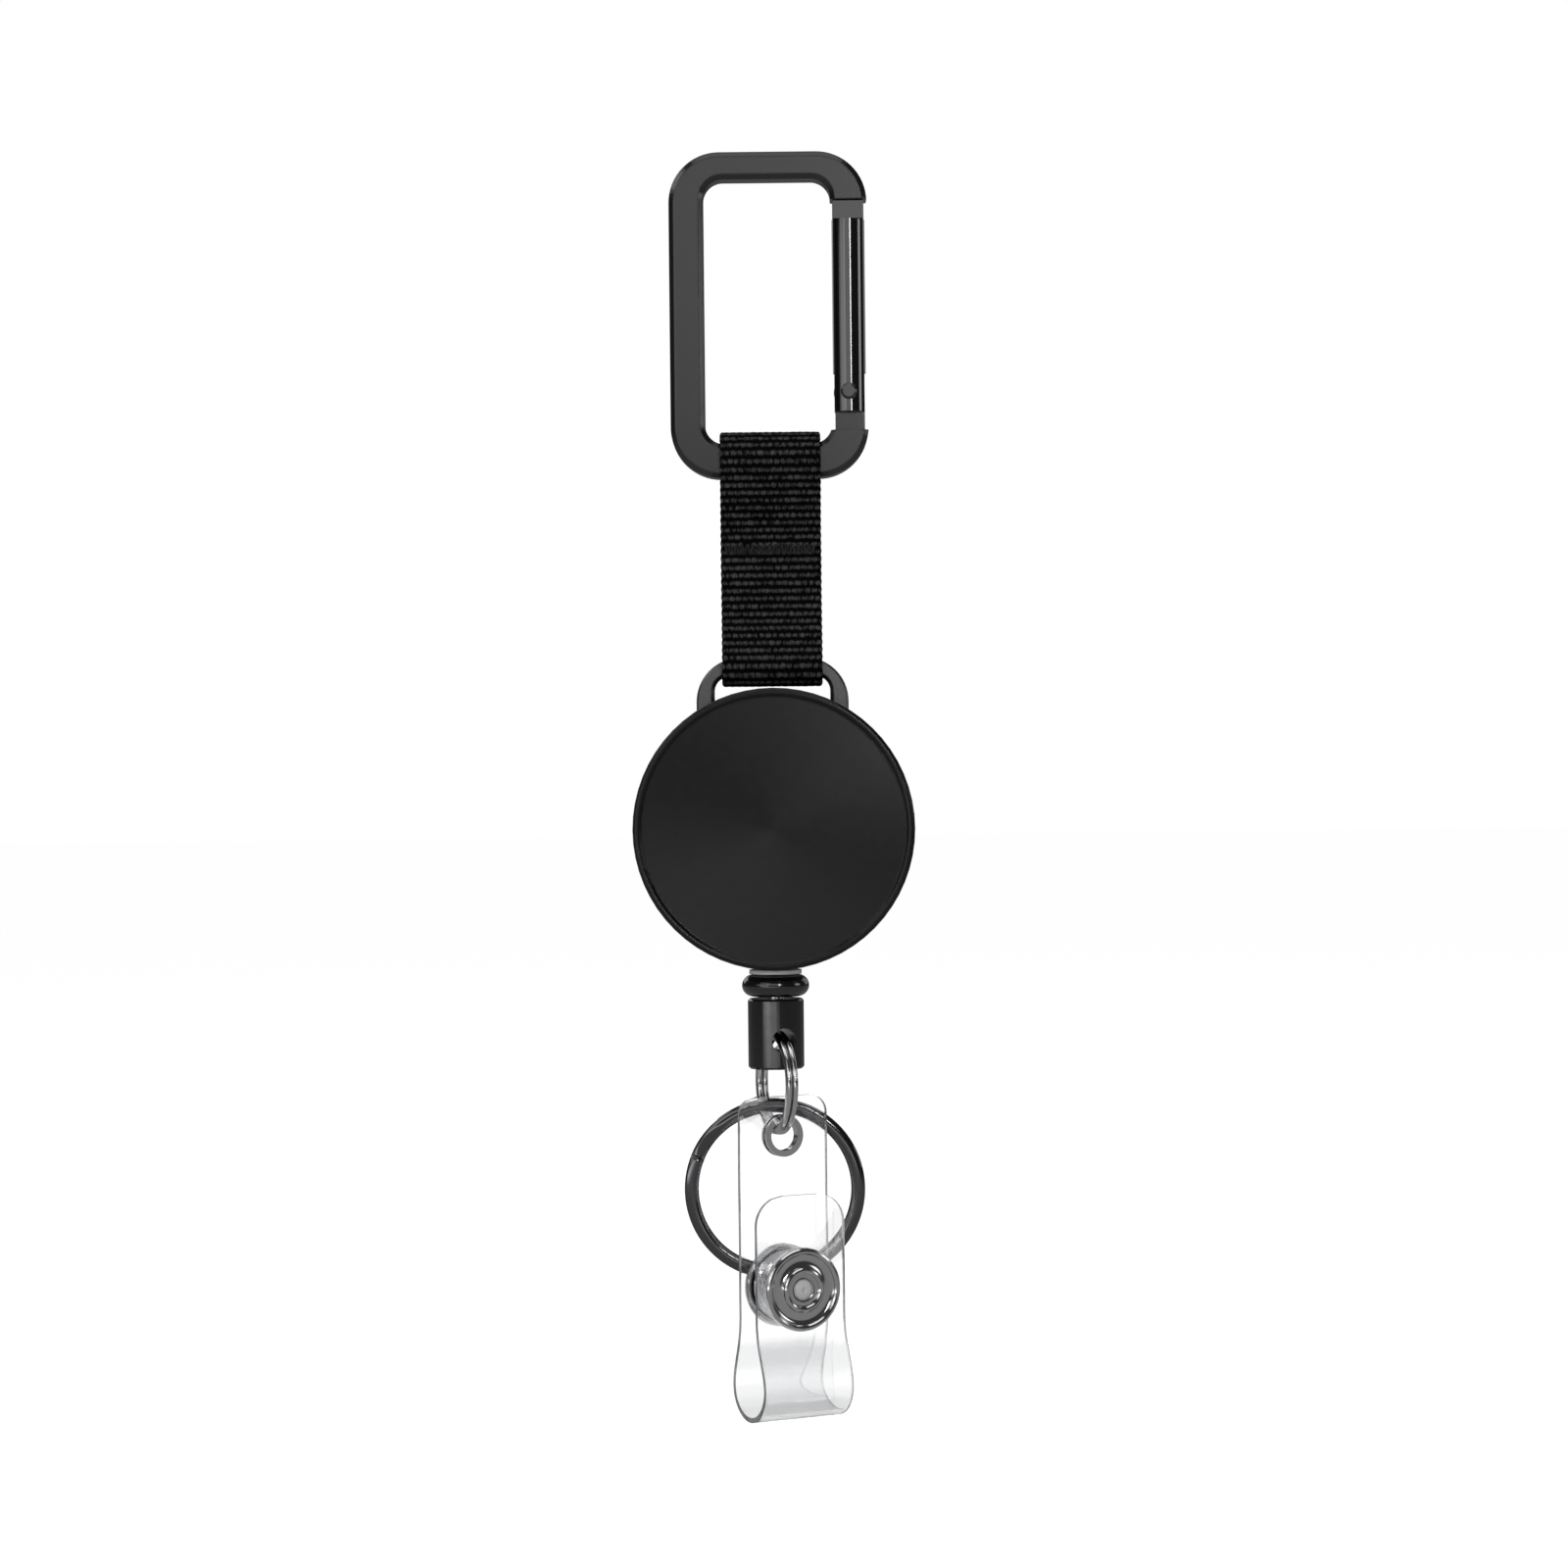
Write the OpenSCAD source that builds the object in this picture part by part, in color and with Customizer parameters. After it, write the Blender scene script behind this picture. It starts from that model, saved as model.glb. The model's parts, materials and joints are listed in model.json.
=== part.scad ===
// Retractable badge reel: a carabiner, a webbing strap, a round spring reel and a clear badge strap.
// The whole chain hangs along -Z from the inside top of the carabiner, which is the origin.
// The front of the reel faces -Y.

/* [Carabiner] */
// Outer width of the carabiner frame
carabiner_w = 28.2; // [26:0.1:32]
// Outer height of the carabiner frame
carabiner_h = 46.4; // [44:0.1:52]
// Depth of the carabiner frame, front to back
carabiner_d = 5; // [4.6:0.1:5.2]
// Width of the closed side leg
leg_w = 4.9; // [4:0.1:5.2]
// Height of the top bar
top_bar_h = 3.9; // [3.5:0.1:4.5]
// Height of the bottom bar, which carries the strap
bottom_bar_h = 4.8; // [4.2:0.1:5]
// Diameter of the round gate bar
gate_dia = 4.7; // [4.2:0.1:4.9]

/* [Strap and ring] */
// Width of the webbing
webbing_w = 14.3; // [12:0.1:15]
// Thickness of one layer of webbing
webbing_t = 1.15; // [1:0.05:1.2]
// Distance between the bars that the strap joins
strap_reach = 29.3; // [29.3:0.1:34]
// Outer width of the ring on the reel
ring_w = 21.7; // [21.2:0.1:22.2]
// Depth of the ring, front to back
ring_d = 2.2; // [1.8:0.1:2.2]

/* [Reel] */
// Outer diameter of the reel
reel_dia = 40; // [40:0.5:44]
// Radius of the inside of the housing
cavity_r = 16; // [16:0.1:16.2]
// Diameter of the cord
cord_dia = 0.9; // [0.6:0.1:0.9]
// Number of screws in the back of the housing
screw_count = 4; // [2:2:4]

/* [Swivel] */
// Diameter of the swivel barrel
barrel_dia = 8; // [7.8:0.1:8.4]
// Length of the swivel barrel
barrel_len = 10; // [10:0.1:11]
// Diameter of the round bead above the barrel
bead_dia = 9.6; // [9:0.1:10]
// Mean radius of the small link ring
link_r = 6.8; // [6.8:0.1:7]
// Turn of the link ring about the vertical, in degrees
link_yaw = 18.6; // [12:0.1:24]
// Outer diameter of the large split ring
split_dia = 25.9; // [25:0.1:27]
// Inner diameter of the large split ring
split_hole = 21.9; // [21:0.1:22.5]

/* [Badge strap] */
// Width of the clear strap
badge_w = 14; // [12:0.1:14.5]
// Thickness of the clear strap
badge_t = 0.7; // [0.5:0.05:0.8]
// Turn of the clear strap about the vertical, in degrees
badge_yaw = 28; // [24:0.5:30]
// Distance between the two layers at the snap
badge_gap = 4.9; // [4.9:0.1:5.4]
// Outer diameter of the snap cap
snap_cap_dia = 11.8; // [11:0.1:12]

/* [Hidden] */
$fn = 64;
slim = 0.01;
through = 60;

// Carabiner
frame_top = top_bar_h;
frame_bottom = frame_top - carabiner_h;
frame_r = 7.2;
frame_hole_r = 2.8;
frame_bevel = 0.7;
inner_left = leg_w - carabiner_w / 2;
inner_right = 8.9;
inner_bottom = frame_bottom + bottom_bar_h;
bar_z = (frame_bottom + inner_bottom) / 2;
nose_z = -3;
shoulder_z = -35.8;
tongue_t = 1.6;
tongue_x = [9.4, 13.6];
gate_x = 11.45;
gate_top = nose_z - 0.2;
gate_low = -33.1;
gate_cap_h = 2.5;
gate_slot_t = 1.9;
rivet_x = 11.3;
rivet_z = -30.3;
rivet_r = 0.75;
rivet_head_r = 1.15;
rivet_head_h = 0.35;
tongue_r = 2.1;
fork_top = rivet_z + tongue_r + 0.6;
plunger_r = 0.65;
plunger_low = rivet_z + tongue_r + 0.05;
plunger_h = 2.6;
spring_len = 8;

// Strap and neck ring
strap_low_z = bar_z - strap_reach;
strap_hole_r = 3.15;
strap_out_r = strap_hole_r + webbing_t;
strap_low_hole_r = 1.75;
strap_low_out_r = strap_low_hole_r + webbing_t;
strap_join_z = [bar_z - 10, strap_low_z + 6.5];
ring_bar_h = 2.7;
ring_bar_w = 2.6;
ring_top = strap_low_z + ring_bar_h / 2;
ring_r = 6.3;
ring_hole_r = 2.1;
ring_bevel = 0.5;

// Reel housing
reel_r = reel_dia / 2;
reel_z = strap_low_z - strap_low_out_r - 0.2 - reel_r;
split_y = -1.4;
cover_rim_y = -5.4;
cover_rim_r = 0.6;
cover_dome_y = -6.5;
cover_dome_sag = 0.5;
cover_in_y = -4.9;
shell_r = reel_r - 0.4;
shell_back_y = 5.6;
shell_in_y = 4.3;
shell_edge_r = 1.4;
back_recess_r = 13;
back_recess_h = 0.25;
ring_pivot_z = reel_z + 16.4;
ring_pin_r = 0.95;
ring_pin_x = 6.1;
ring_notch_x = [8, 11.3];
ring_end_r = ring_d / 2;
screw_ring_r = 17.3;
screw_r = 0.8;
screw_head_r = 1.5;
screw_head_h = 0.8;
screw_tip_y = -4.2;
post_r = 2.7;
post_slot = 0.45;

// Spool, spring and cord
spool_bore_r = post_r + 0.06;
spool_front_y = -4.5;
spool_back_y = 3.9;
drum_in_r = 10.2;
drum_r = 11;
flange_r = 15.4;
groove_w = 2.4;
flange_t = 0.8;
web_t = 0.8;
winding_r = 13.9;
spring_in_r = 3.3;
spring_out_r = 10;
spring_turns = 6;
spring_t = 0.3;
spring_y = [-3.4, 2.9];
spring_step = 15;
cover_plate_y = [3.05, 3.75];
cord_r = cord_dia / 2;
// Route of the cord from the winding to the crimp, across and down from the reel centre
cord_route = [[6.8, -12.75], [5.6, -13.4], [4.4, -14.05], [3.2, -14.7], [2.2, -15.25],
    [1.4, -15.75], [0.8, -16.3], [0.35, -17], [0.1, -17.8], [0, -18.6], [0, -20], [0, -21.6]];
cord_sides = 8;

// Outlet, bead and barrel
outlet_z = reel_z - reel_r;
bushing_r = 2.4;
bushing_bore_r = 0.9;
bushing_top = reel_z - 16.6;
bushing_flange_r = 3.75;
bushing_flange_z = outlet_z - 0.1;
bushing_flange_h = 0.6;
bead_top = bushing_flange_z - bushing_flange_h - 0.1;
bead_h = 3.1;
bead_low = bead_top - bead_h;
bead_hole_r = 1.3;
crimp_top = reel_z - 21.6;
crimp_h = 1.4;
crimp_r = 1.1;
barrel_top = bead_low - 0.3;
barrel_low = barrel_top - barrel_len;
barrel_r = barrel_dia / 2;
barrel_edge = 0.3;
pin_r = 1.2;
pin_head_r = 2.2;
pin_head_top = barrel_top - 1.6;
pin_head_h = 1.4;
cross_hole_r = 1.8;
cross_hole_z = barrel_top - 5.9;

// Rings
link_t = 1.3;
link_w = 1.9;
link_z = cross_hole_z - link_r + (link_r - sqrt(link_r * link_r - barrel_r * barrel_r)) / 2;
split_r = split_dia / 2;
split_w = 1.9;
split_x = -0.4;
split_y_mid = 2.6;
split_z = link_z - 15.45;
coil_gap = 0.12;

// Badge strap, in its own upright frame, whose front faces -Y before it is turned
badge_s = 2.4;
badge_at = [badge_s * sin(link_yaw), -badge_s * cos(link_yaw), 0];
eyelet_z = link_z - 7.35;
eyelet_r = 2.13;
eyelet_flange_r = 3;
eyelet_flange_t = 0.3;
badge_top = eyelet_z + 5.6;
badge_corner_r = 2.6;
fold_r = 5;
fold_z = reel_z - 83.35 + fold_r;
fold_y = -badge_gap / 2 - 0.1;
flap_top = reel_z - 51.5;
flap_corner_r = 4.2;
hinge_y = fold_y - fold_r;
hinge_r = badge_t / 2;
hinge_slack = 0.09;
snap_z = reel_z - 64.9;
snap_hole_r = 1.85;
bend_z = snap_z - snap_cap_dia / 2 - 0.2;
front_y = -badge_gap - badge_t / 2;
back_y = badge_t / 2;
cap_h = 1.05;
cap_rim_h = 0.35;
socket_r = 5;
socket_h = 2.4;
socket_hole_r = 2.3;
stud_base_r = 4.2;
stud_base_h = 1.1;
stud_r = 2.1;
stud_tip_y = -1.1;
snap_ring_r = 5.9;
snap_rim_r = 0.5;
snap_dish_h = 0.3;
snap_core_r = 3.2;
snap_core_h = 1.1;
snap_bead_r = 0.45;
snap_bore_r = 1.75;

// A flat outline in X and Z, given a depth along Y and centred on Y = 0
module upright(depth) {
    rotate([90, 0, 0]) linear_extrude(depth, center = true) children();
}

// A side outline in Y and Z, given a width along X and centred on X = 0
module sideways(width) {
    rotate([90, 0, 90]) linear_extrude(width, center = true) children();
}

// An outline of radius and Y, turned about the Y axis
module turned() {
    rotate([-90, 0, 0]) rotate_extrude() children();
}

// A round bar along Y between two places
module bar_y(radius, y_low, y_high) {
    translate([0, y_low, 0]) rotate([-90, 0, 0]) cylinder(r = radius, h = y_high - y_low);
}

// A round bar along X between two places
module bar_x(radius, x_low, x_high) {
    translate([x_low, 0, 0]) rotate([0, 90, 0]) cylinder(r = radius, h = x_high - x_low);
}

// A round tube along Z between two heights
module tube_z(r_out, r_in, z_low, z_high) {
    difference() {
        translate([0, 0, z_low]) cylinder(r = r_out, h = z_high - z_low);
        translate([0, 0, z_low - 1]) cylinder(r = r_in, h = z_high - z_low + 2);
    }
}

// A rectangle from two corners, with round corners
module round_rect(x_low, x_high, z_low, z_high, radius) {
    translate([x_low, z_low + radius]) square([x_high - x_low, z_high - z_low - 2 * radius]);
    translate([x_low + radius, z_low]) square([x_high - x_low - 2 * radius, z_high - z_low]);
    for (x = [x_low + radius, x_high - radius], z = [z_low + radius, z_high - radius])
        translate([x, z]) circle(r = radius);
}

// A thick round-cornered plate with bevelled front and back edges
module bevel_plate(x_low, x_high, z_low, z_high, radius, depth, bevel) {
    hull() {
        upright(depth - 2 * bevel) round_rect(x_low, x_high, z_low, z_high, radius);
        upright(depth)
            round_rect(x_low + bevel, x_high - bevel, z_low + bevel, z_high - bevel, radius - bevel);
    }
}

// The cutter for an opening whose front and back edges are bevelled
module bevel_opening(x_low, x_high, z_low, z_high, radius, depth, bevel) {
    upright(depth + 2) round_rect(x_low, x_high, z_low, z_high, radius);
    for (side = [-1, 1])
        hull() {
            translate([0, side * (depth / 2 - bevel), 0])
                upright(slim) round_rect(x_low, x_high, z_low, z_high, radius);
            translate([0, side * (depth / 2 + bevel), 0])
                upright(slim) round_rect(x_low - 2 * bevel, x_high + 2 * bevel,
                    z_low - 2 * bevel, z_high + 2 * bevel, radius + 2 * bevel);
        }
}

module at_rivet() {
    translate([rivet_x, 0, rivet_z]) children();
}

module carabiner_frame() {
    color("#2b2b2d") {
        difference() {
            bevel_plate(-carabiner_w / 2, carabiner_w / 2, frame_bottom, frame_top,
                frame_r, carabiner_d, frame_bevel);
            bevel_opening(inner_left, inner_right, inner_bottom, 0,
                frame_hole_r, carabiner_d, frame_bevel);
            translate([inner_right - 1, -carabiner_d, shoulder_z])
                cube([10, 2 * carabiner_d, nose_z - shoulder_z]);
        }
        difference() {
            upright(tongue_t) {
                translate([tongue_x[0], shoulder_z - 1])
                    square([tongue_x[1] - tongue_x[0], rivet_z - shoulder_z]);
                polygon([[tongue_x[0], rivet_z - 1], [tongue_x[1], rivet_z - 1],
                    [rivet_x + tongue_r, rivet_z], [rivet_x - tongue_r, rivet_z]]);
                translate([rivet_x, rivet_z]) circle(r = tongue_r);
            }
            at_rivet() bar_y(rivet_r, -tongue_t, tongue_t);
        }
        translate([10.1, -tongue_t / 2, nose_z - 2.3]) cube([2.2, tongue_t, 2.8]);
    }
}

module gate_rivet() {
    color("#8b8c90") at_rivet() {
        bar_y(rivet_r - slim, -gate_dia / 2, gate_dia / 2);
        for (side = [0, 180])
            rotate([0, 0, side]) turned()
                polygon([[0, gate_dia / 2 - 0.1], [rivet_head_r, gate_dia / 2 - 0.1],
                    [rivet_head_r, gate_dia / 2 + 0.1], [rivet_head_r - 0.3, gate_dia / 2 + rivet_head_h],
                    [0, gate_dia / 2 + rivet_head_h]]);
    }
}

module carabiner_gate() {
    cap_w = gate_dia - 0.3;
    cap_d = gate_dia - 0.5;
    color("#3a3a3d") difference() {
        union() {
            translate([gate_x, 0, gate_low]) cylinder(d = gate_dia, h = gate_top - gate_cap_h - gate_low);
            translate([gate_x - cap_w / 2, -cap_d / 2, gate_top - gate_cap_h])
                cube([cap_w, cap_d, gate_cap_h]);
        }
        translate([gate_x - gate_dia, -gate_slot_t / 2, gate_low - 1])
            cube([2 * gate_dia, gate_slot_t, fork_top - gate_low + 1]);
        translate([9.9, -gate_slot_t / 2, gate_top - gate_cap_h])
            cube([gate_dia, gate_slot_t, gate_cap_h + 1]);
        at_rivet() bar_y(rivet_r + 0.03, -gate_dia, gate_dia);
        for (side = [-1, 1])
            at_rivet() translate([0, side * (gate_dia / 2 + 0.4), 0])
                bar_y(rivet_head_r + 0.05, -0.55, 0.55);
        translate([rivet_x, 0, fork_top - 1])
            cylinder(r = plunger_r + 0.08, h = spring_len + plunger_h);
    }
}

module gate_plunger() {
    color("silver") translate([rivet_x, 0, plunger_low]) cylinder(r = plunger_r, h = plunger_h);
}

module gate_spring() {
    color("silver") translate([rivet_x, 0, 0])
        tube_z(plunger_r, plunger_r - 0.25, plunger_low + plunger_h + slim,
            fork_top - 1.1 + spring_len + plunger_h);
}

module webbing_strap() {
    color("#1b1b1d") sideways(webbing_w) difference() {
        union() {
            translate([0, bar_z]) circle(r = strap_out_r);
            translate([0, strap_low_z]) circle(r = strap_low_out_r);
            polygon([[-strap_out_r + 0.1, bar_z - 0.9], [-webbing_t, strap_join_z[0]],
                [-webbing_t, strap_join_z[1]], [-strap_low_out_r + 0.05, strap_low_z + 0.5],
                [strap_low_out_r - 0.05, strap_low_z + 0.5], [webbing_t, strap_join_z[1]],
                [webbing_t, strap_join_z[0]], [strap_out_r - 0.1, bar_z - 0.9]]);
        }
        translate([0, bar_z]) circle(r = strap_hole_r);
        polygon([[-strap_hole_r + 0.1, bar_z - 0.75], [0, strap_join_z[0] + 0.8],
            [strap_hole_r - 0.1, bar_z - 0.75]]);
        translate([0, strap_low_z]) circle(r = strap_low_hole_r);
        polygon([[-strap_low_hole_r + 0.05, strap_low_z + 0.4], [0, strap_join_z[1] - 0.5],
            [strap_low_hole_r - 0.05, strap_low_z + 0.4]]);
    }
}

module neck_ring() {
    half = ring_w / 2;
    color("#2f2f32") {
        difference() {
            bevel_plate(-half, half, ring_pivot_z - ring_r - 4, ring_top, ring_r, ring_d, 0.3);
            bevel_opening(-half + ring_bar_w, half - ring_bar_w, ring_pivot_z - ring_r - 8,
                ring_top - ring_bar_h, ring_hole_r, ring_d, ring_bevel);
            translate([-through / 2, -through / 2, ring_pivot_z - through])
                cube([through, through, through]);
        }
        for (side = [0, 180])
            translate([0, 0, ring_pivot_z]) rotate([0, 0, side]) {
                bar_x(ring_end_r, half - ring_bar_w, half - 0.3);
                bar_x(ring_pin_r, ring_pin_x + 0.2, half - 1);
            }
    }
}

module at_screws() {
    for (i = [0 : screw_count - 1])
        translate([0, 0, reel_z]) rotate([0, 45 + i * 360 / screw_count, 0])
            translate([screw_ring_r, 0, 0]) children();
}

module outlet_hole() {
    translate([0, 0, outlet_z - 2]) cylinder(r = bushing_r + 0.02, h = bushing_top - outlet_z + 5);
}

module front_cover() {
    dome_r = cover_dome_sag / 2 + pow(reel_r - cover_rim_r, 2) / (2 * cover_dome_sag);
    color("#232325") difference() {
        translate([0, 0, reel_z]) turned() {
            polygon([[reel_r, split_y], [reel_r, cover_rim_y], [reel_r - cover_rim_r, cover_rim_y],
                [reel_r - cover_rim_r, cover_in_y], [cavity_r, cover_in_y], [cavity_r, split_y]]);
            intersection() {
                translate([0, cover_dome_y]) square([reel_r - cover_rim_r, cover_in_y - cover_dome_y]);
                translate([0, cover_dome_y + dome_r]) circle(r = dome_r);
            }
            translate([reel_r - cover_rim_r, cover_rim_y]) circle(r = cover_rim_r);
        }
        outlet_hole();
        at_screws() bar_y(screw_r + 0.02, screw_tip_y - 0.2, split_y + 1);
    }
}

module rear_shell() {
    recess_y = shell_back_y - back_recess_h;
    color("#1f1f21") difference() {
        translate([0, 0, reel_z]) turned() {
            polygon([[cavity_r, split_y], [shell_r, split_y], [shell_r, shell_back_y - shell_edge_r],
                [shell_r - shell_edge_r, shell_back_y], [back_recess_r + back_recess_h, shell_back_y],
                [back_recess_r, recess_y], [0, recess_y], [0, shell_in_y], [cavity_r, shell_in_y]]);
            translate([shell_r - shell_edge_r, shell_back_y - shell_edge_r]) circle(r = shell_edge_r);
        }
        outlet_hole();
        for (side = [-1, 1])
            translate([side > 0 ? ring_notch_x[0] : -ring_notch_x[1], split_y - 1,
                ring_pivot_z - ring_end_r - 0.25])
                cube([ring_notch_x[1] - ring_notch_x[0], shell_back_y - split_y + 2, 10]);
        for (side = [0, 180])
            translate([0, 0, ring_pivot_z]) rotate([0, 0, side])
                bar_x(ring_pin_r + 0.08, ring_pin_x, ring_notch_x[1]);
        bar_y_post();
        at_screws() {
            bar_y(screw_r + 0.02, split_y - 1, shell_back_y);
            bar_y(screw_head_r + 0.1, shell_back_y - screw_head_h - 0.1, shell_back_y + 1);
        }
    }
}

// The seat of the centre post in the back wall
module bar_y_post() {
    translate([0, 0, reel_z]) bar_y(post_r, shell_in_y - 1, shell_in_y + 0.5);
}

module center_post() {
    color("#9a9a9c") translate([0, 0, reel_z]) difference() {
        bar_y(post_r, cover_in_y + slim, shell_in_y + 0.5);
        translate([-post_slot / 2, spring_y[0], -post_r - 1])
            cube([post_slot, spring_y[1] - spring_y[0], post_r + 1]);
    }
}

module thrust_washer() {
    color("#c9c9c4") translate([0, 0, reel_z]) turned()
        translate([post_r + 0.05, cover_in_y + 0.02]) square([1.9, 0.3]);
}

module housing_screws() {
    color("#7d7d80") at_screws() difference() {
        union() {
            bar_y(screw_r, screw_tip_y, shell_back_y - screw_head_h);
            bar_y(screw_head_r, shell_back_y - screw_head_h - 0.1, shell_back_y - 0.1);
        }
        for (turn = [0, 90])
            rotate([0, turn, 0]) translate([-0.9, shell_back_y - 0.5, -0.18]) cube([1.8, 1, 0.36]);
    }
}

module outlet_bushing() {
    color("#d6d6d8") difference() {
        union() {
            translate([0, 0, bushing_flange_z - slim])
                cylinder(r = bushing_r, h = bushing_top - bushing_flange_z + slim);
            translate([0, 0, bushing_flange_z - bushing_flange_h])
                cylinder(r = bushing_flange_r, h = bushing_flange_h);
        }
        translate([0, 0, bushing_flange_z - 2]) cylinder(r = bushing_bore_r, h = 10);
        translate([0, 0, bushing_top - 1.6]) cylinder(r1 = bushing_bore_r, r2 = 2.1, h = 1.6 + slim);
    }
}

module spool_drum() {
    color("#d8d6cf") translate([0, 0, reel_z]) turned() {
        translate([spool_bore_r, spool_front_y]) square([drum_r - spool_bore_r, web_t]);
        translate([drum_in_r, spool_front_y]) square([drum_r - drum_in_r, spool_back_y - spool_front_y]);
        for (side = [-1, 1])
            translate([drum_in_r, side * (groove_w + flange_t) / 2 - flange_t / 2])
                square([flange_r - drum_in_r, flange_t]);
    }
}

module spring_cover() {
    color("#bfbdb6") translate([0, 0, reel_z]) turned()
        translate([spool_bore_r, cover_plate_y[0]])
            square([drum_in_r - spool_bore_r - 0.02, cover_plate_y[1] - cover_plate_y[0]]);
}

// A point on the spiral of the clock spring, offset across its thickness
function spiral_point(angle, offset) =
    let (r = spring_in_r + (spring_out_r - spring_in_r) * angle / (360 * spring_turns) + offset)
    [r * cos(angle - 90), r * sin(angle - 90)];

module clock_spring() {
    last = 360 * spring_turns;
    inner = [for (a = [0 : spring_step : last]) spiral_point(a, -spring_t / 2)];
    outer = [for (a = [last : -spring_step : 0]) spiral_point(a, spring_t / 2)];
    color("#8f8f8c") translate([0, (spring_y[0] + spring_y[1]) / 2, reel_z])
        upright(spring_y[1] - spring_y[0]) polygon(concat(inner, outer));
}

module cord_winding() {
    color("#202022") translate([0, 0, reel_z]) turned()
        translate([drum_r + 0.02, -groove_w / 2 + 0.05]) square([winding_r - drum_r, groove_w - 0.1]);
}

// Unit direction of the cord at a point of its route
function route_way(i) =
    let (a = cord_route[max(i - 1, 0)], b = cord_route[min(i + 1, len(cord_route) - 1)], d = b - a)
    d / norm(d);

module cord_lead() {
    count = len(cord_route);
    rings = [for (i = [0 : count - 1], k = [0 : cord_sides - 1])
        let (way = route_way(i), turn = k * 360 / cord_sides)
        [cord_route[i][0] - way[1] * cord_r * cos(turn), cord_r * sin(turn),
            cord_route[i][1] + way[0] * cord_r * cos(turn)]];
    sides = [for (i = [0 : count - 2], k = [0 : cord_sides - 1]) let (n = (k + 1) % cord_sides)
        [i * cord_sides + k, i * cord_sides + n, (i + 1) * cord_sides + n, (i + 1) * cord_sides + k]];
    start = [for (k = [cord_sides - 1 : -1 : 0]) k];
    end = [for (k = [0 : cord_sides - 1]) (count - 1) * cord_sides + k];
    color("#202022") translate([0, 0, reel_z]) polyhedron(rings, concat(sides, [start, end]));
}

module stop_bead() {
    core = bead_dia / 2 - bead_h / 2;
    color("#141416") difference() {
        translate([0, 0, bead_low + bead_h / 2]) rotate_extrude() {
            translate([0, -bead_h / 2]) square([core, bead_h]);
            translate([core, 0]) circle(d = bead_h);
        }
        translate([0, 0, bead_low - 1]) cylinder(r = bead_hole_r, h = crimp_top + 0.02 - bead_low + 1);
        translate([0, 0, bead_low - 1]) cylinder(r = cord_r + 0.05, h = bead_h + 2);
    }
}

module cord_crimp() {
    color("#b9a15a") tube_z(crimp_r, cord_r / 2, crimp_top - crimp_h, crimp_top - slim);
}

module swivel_pin() {
    color("#a9a9ad") {
        translate([0, 0, pin_head_top - slim])
            cylinder(r = pin_r, h = crimp_top - crimp_h - 0.05 - pin_head_top);
        translate([0, 0, pin_head_top - pin_head_h]) cylinder(r = pin_head_r, h = pin_head_h);
    }
}

module swivel_barrel() {
    color("#161618") difference() {
        rotate_extrude() polygon([[0, barrel_low], [barrel_r - barrel_edge, barrel_low],
            [barrel_r, barrel_low + barrel_edge], [barrel_r, barrel_top - barrel_edge],
            [barrel_r - barrel_edge, barrel_top], [0, barrel_top]]);
        translate([0, 0, pin_head_top - 1]) cylinder(r = pin_r + 0.1, h = 4);
        translate([0, 0, pin_head_top - pin_head_h - 0.15])
            cylinder(r = pin_head_r + 0.15, h = pin_head_h + 0.3);
        translate([0, 0, cross_hole_z]) rotate([0, 0, link_yaw])
            bar_y(cross_hole_r, -barrel_dia, barrel_dia);
    }
}

// The section of a ring of two flat coils, at a mean radius
module two_coils(mean_r, thick, width) {
    for (side = [-1, 1])
        translate([mean_r - thick / 2, side * width / 4 - (width / 2 - coil_gap) / 2])
            square([thick, width / 2 - coil_gap]);
    translate([mean_r - thick / 2 + 0.25, -width / 4]) square([thick - 0.5, width / 2]);
}

module link_ring() {
    color("#c9cacd") rotate([0, 0, link_yaw]) translate([0, 0, link_z]) rotate([0, 90, 0])
        rotate_extrude() two_coils(link_r, link_t, link_w);
}

module split_ring() {
    mean = (split_dia + split_hole) / 4;
    color("#6a6b70") translate([split_x, split_y_mid, split_z]) turned()
        two_coils(mean, (split_dia - split_hole) / 2, split_w);
}

module badge_frame() {
    translate(badge_at) rotate([0, 0, badge_yaw]) children();
}

// A strip of the strap between points of its middle line, in Y and Z
module strip(points) {
    count = len(points);
    way = [for (i = [0 : count - 1])
        let (d = points[min(i + 1, count - 1)] - points[max(i - 1, 0)]) d / norm(d)];
    polygon(concat(
        [for (i = [0 : count - 1]) points[i] + [-way[i][1], way[i][0]] * badge_t / 2],
        [for (i = [count - 1 : -1 : 0]) points[i] - [-way[i][1], way[i][0]] * badge_t / 2]));
}

module badge_strap_back() {
    fold = [for (a = [0 : 12 : 180]) [fold_y + fold_r * cos(a), fold_z - fold_r * sin(a)]];
    color("#dfe6ea", 0.6) badge_frame() difference() {
        union() {
            upright(badge_t) {
                round_rect(-badge_w / 2, badge_w / 2, bend_z, badge_top, badge_corner_r);
                translate([-badge_w / 2, bend_z]) square([badge_w, badge_corner_r]);
            }
            sideways(badge_w) strip(concat([[0, bend_z + 0.5], [0, bend_z]], fold));
        }
        translate([0, 0, eyelet_z]) bar_y(eyelet_r + 0.3, -1, 1);
        translate([0, 0, snap_z]) bar_y(snap_hole_r, -1, 1);
        translate([0, hinge_y, fold_z]) bar_x(hinge_r + hinge_slack, -badge_w, badge_w);
    }
}

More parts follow.
